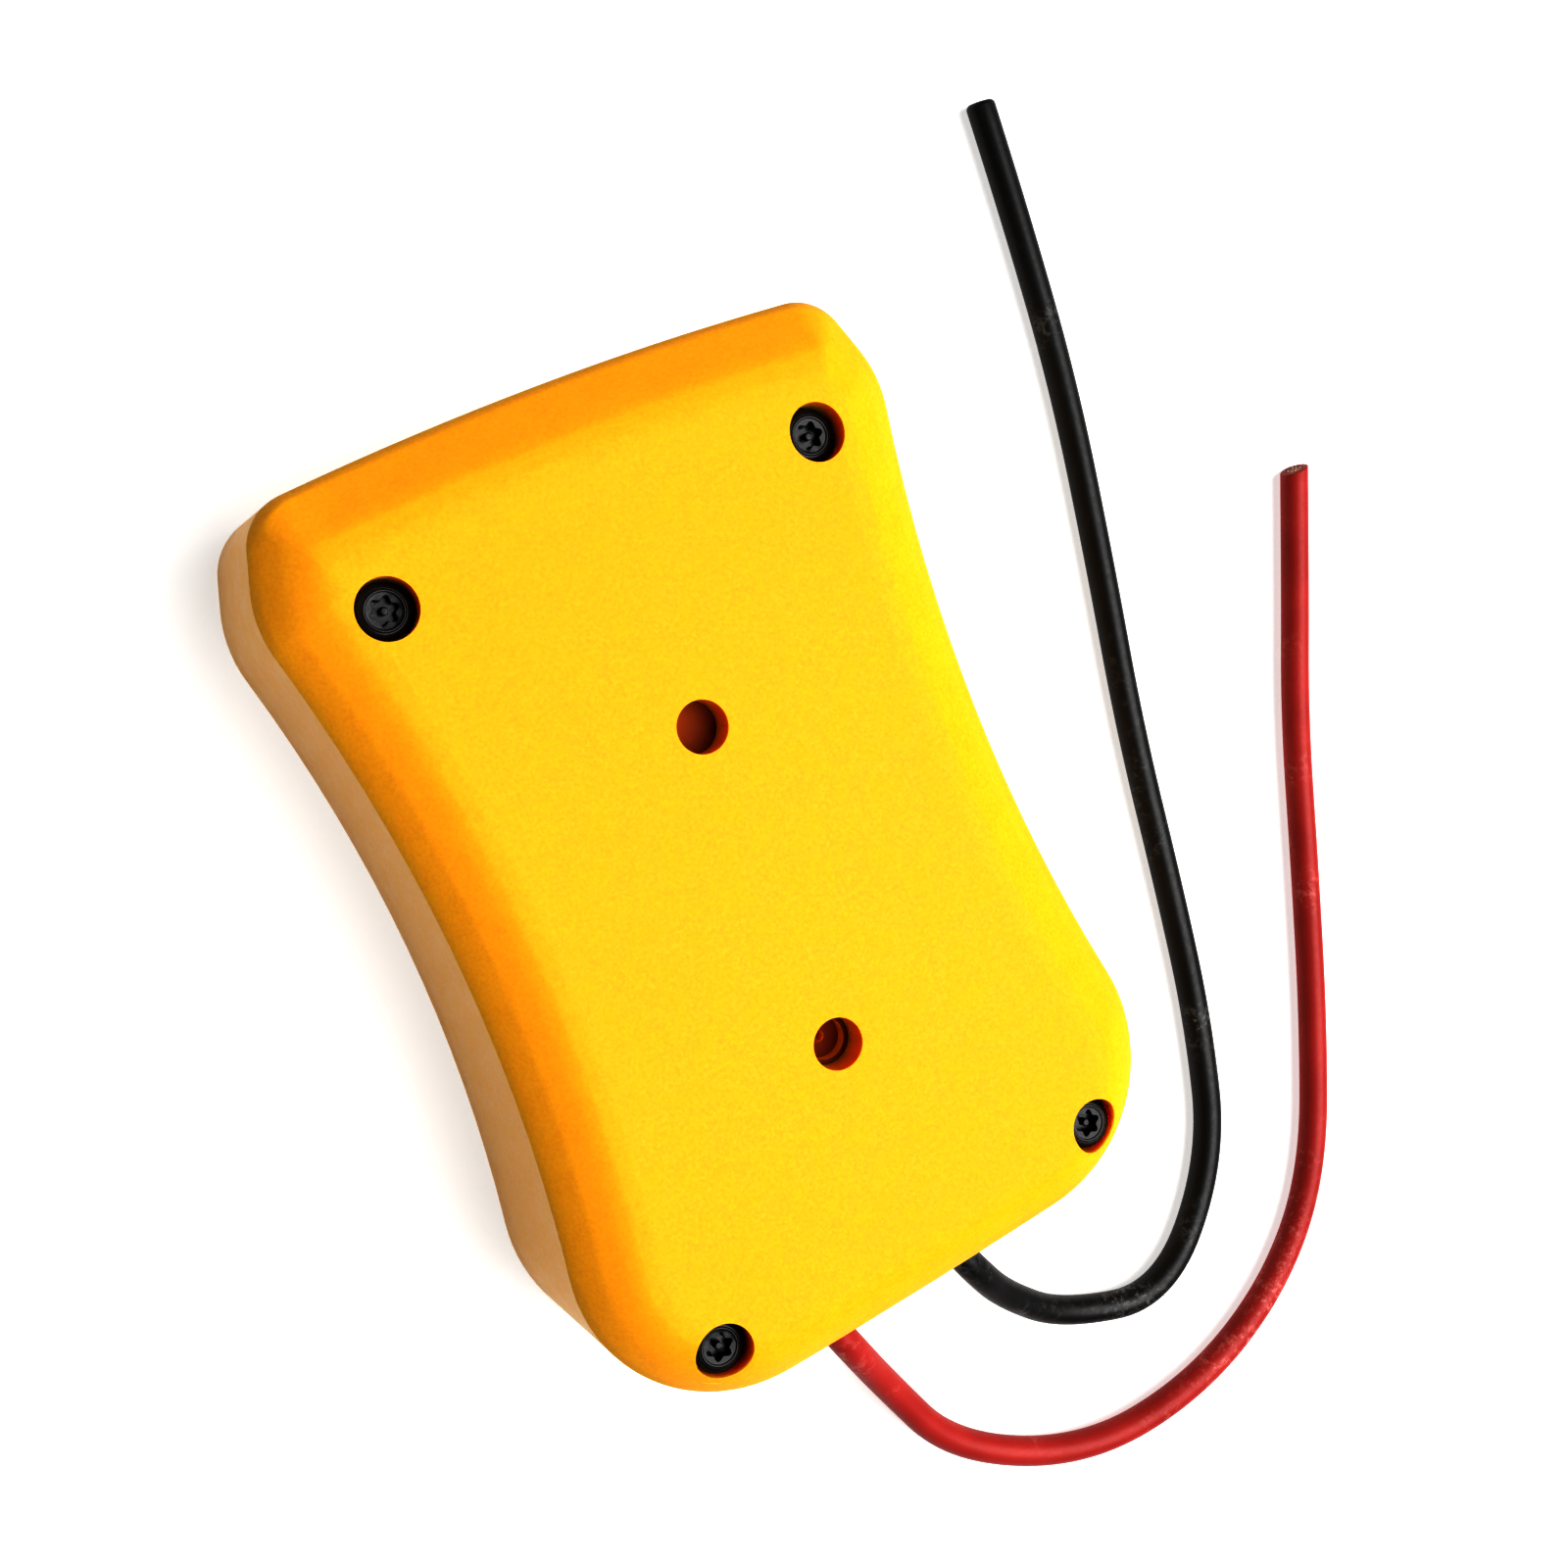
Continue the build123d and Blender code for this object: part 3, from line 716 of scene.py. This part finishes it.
screw_profile = [
    (0.50, -8.00, 0.0), (1.20, -7.30, 0.0), (1.45, -7.05, 0.0), (1.45, 0.00, 0.0), (2.62, 0.00, 0.0),
    (2.75, 0.13, 0.0), (2.75, 1.36, 0.0), (2.71, 1.54, 0.0), (2.60, 1.70, 0.0), (2.43, 1.82, 0.0),
    (2.20, 1.89, 0.0), (2.06, 1.90, 0.0), (1.98, 1.97, 0.0), (1.88, 2.00, 0.0), (1.78, 1.97, 0.0),
    (1.70, 1.86, 0.0), (1.52, 1.84, 0.02), (1.26, 1.83, 0.20), (1.21, 1.76, 0.20), (1.18, 0.72, 0.19),
    (1.10, 0.66, 0.17), (0.46, 0.66, 0.0), (0.40, 0.70, 0.0), (0.40, 1.46, 0.0), (0.34, 1.58, 0.0),
    (0.18, 1.63, 0.0),
]


def lobed_loop(radius, height, lobe, place, steps=96):
    """A circle about a vertical axis at place, swelling outwards in six lobes."""
    loop = []
    for i in range(steps):
        angle = math.tau * i / steps
        reach = radius + lobe * math.cos(6 * angle)
        loop.append((place[0] + reach * math.cos(angle), place[1] + reach * math.sin(angle), height))
    return loop


for name, place in screw_places.items():
    loops = [lobed_loop(radius, screw_seat + z, lobe, place) for radius, z, lobe in screw_profile]
    screw = from_loops(f"case_screw_{name}_turned", loops, black_steel)
    finish_edges(screw, angle=36.0)
    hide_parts(f"case_screw_{name}")
    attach(screw, "root")

# ---------------------------------------------------------------- the other pieces
# These keep their CAD shapes, welded, with smooth shading between their sharp edges.


def smooth_copy(node_name, name, material):
    """A welded, smoothly shaded copy of a CAD node, which takes the node's place."""
    node = nodes[node_name]
    data = node.data.copy()
    data.transform(node.matrix_world)
    data.materials.clear()
    data.materials.append(material)
    piece = bpy.data.objects.new(name, data)
    scene.collection.objects.link(piece)
    data.transform(Matrix.Scale(1 / MM, 4))
    finish_edges(piece, angle=28.0)
    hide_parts(node_name)
    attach(piece, "root")
    return piece


# The posts under the mounting holes: their tops, which face up, get a dark painted shade; their upright sides
# get the walls' lighter, translucent plastic, a painted light.
base = smooth_copy("base_frame", "base_shell", base_plastic)
base.data.materials.append(post_painted_shade)
base.data.materials.append(wall_painted_light)
post_radius = 4.7
post_bottom = 20.5
post_top = 24.4
for face in base.data.polygons:
    if post_bottom < face.center.z / MM < post_top and is_near(face, hole_places, post_radius):
        face.material_index = 1 if face.normal.z > 0.5 else 2

smooth_copy("terminal_block", "terminal_block_moulding", black_nylon)
smooth_copy("wire_clamp", "wire_clamp_moulding", black_nylon)
for role in ("positive", "negative", "thermistor", "identity"):
    smooth_copy(f"blade_{role}", f"blade_{role}_stamping", contact_brass)
for name in ("clamp_screw_left", "clamp_screw_right", "terminal_screw_left", "terminal_screw_right"):
    smooth_copy(name, f"{name}_turned", plated_steel)
for colour, insulation in (("red", red_silicone), ("black", black_silicone)):
    smooth_copy(f"{colour}_lead", f"{colour}_lead_insulation", insulation)
    smooth_copy(f"{colour}_strands", f"{colour}_lead_strands", copper)
    smooth_copy(f"{colour}_solder", f"{colour}_lead_solder", tin)
    smooth_copy(f"{colour}_sleeve", f"{colour}_lead_sleeve", sleeve_plastic)

# ---------------------------------------------------------------- floor and light

floor_data = bpy.data.meshes.new("floor")
floor_half = 1.5
floor_drop = 0.0001         # the floor lies this much below the object, so that no faces coincide
corners = [(-1, -1), (1, -1), (1, 1), (-1, 1)]
floor_data.from_pydata([(x * floor_half, y * floor_half, 0) for x, y in corners], [], [(0, 1, 2, 3)])
floor = bpy.data.objects.new("floor", floor_data)
floor.location.z = -floor_drop
scene.collection.objects.link(floor)
floor_material, _, floor_shader = new_material("pale_floor")
floor_shader.inputs["Base Color"].default_value = (0.45, 0.45, 0.45, 1.0)
floor_shader.inputs["Roughness"].default_value = 0.8
floor_shader.inputs["Specular IOR Level"].default_value = 0.2
floor_shader.inputs["Emission Color"].default_value = (1.0, 1.0, 1.0, 1.0)
floor_shader.inputs["Emission Strength"].default_value = 0.75
floor_data.materials.append(floor_material)


def area_light(name, place, aim, size, power):
    """A square soft white light at place that looks at aim, in metres and watts."""
    data = bpy.data.lights.new(name, "AREA")
    data.size = size
    data.energy = power
    light = bpy.data.objects.new(name, data)
    light.location = place
    light.rotation_euler = (Vector(aim) - Vector(place)).to_track_quat("-Z", "Y").to_euler()
    scene.collection.objects.link(light)


area_light("key", place=(0.45, -0.27, 1.02), aim=(0.0, 0.0, 0.02), size=1.0, power=29.8)

world = bpy.data.worlds.new("world")
world.use_nodes = True
world.node_tree.nodes["Background"].inputs["Color"].default_value = (1.0, 1.0, 1.0, 1.0)
world.node_tree.nodes["Background"].inputs["Strength"].default_value = 0.04
scene.world = world

# The photograph's contrast is stronger than light's own, and this gamma gives it.
scene.view_settings.view_transform = "Standard"
scene.view_settings.gamma = 0.52
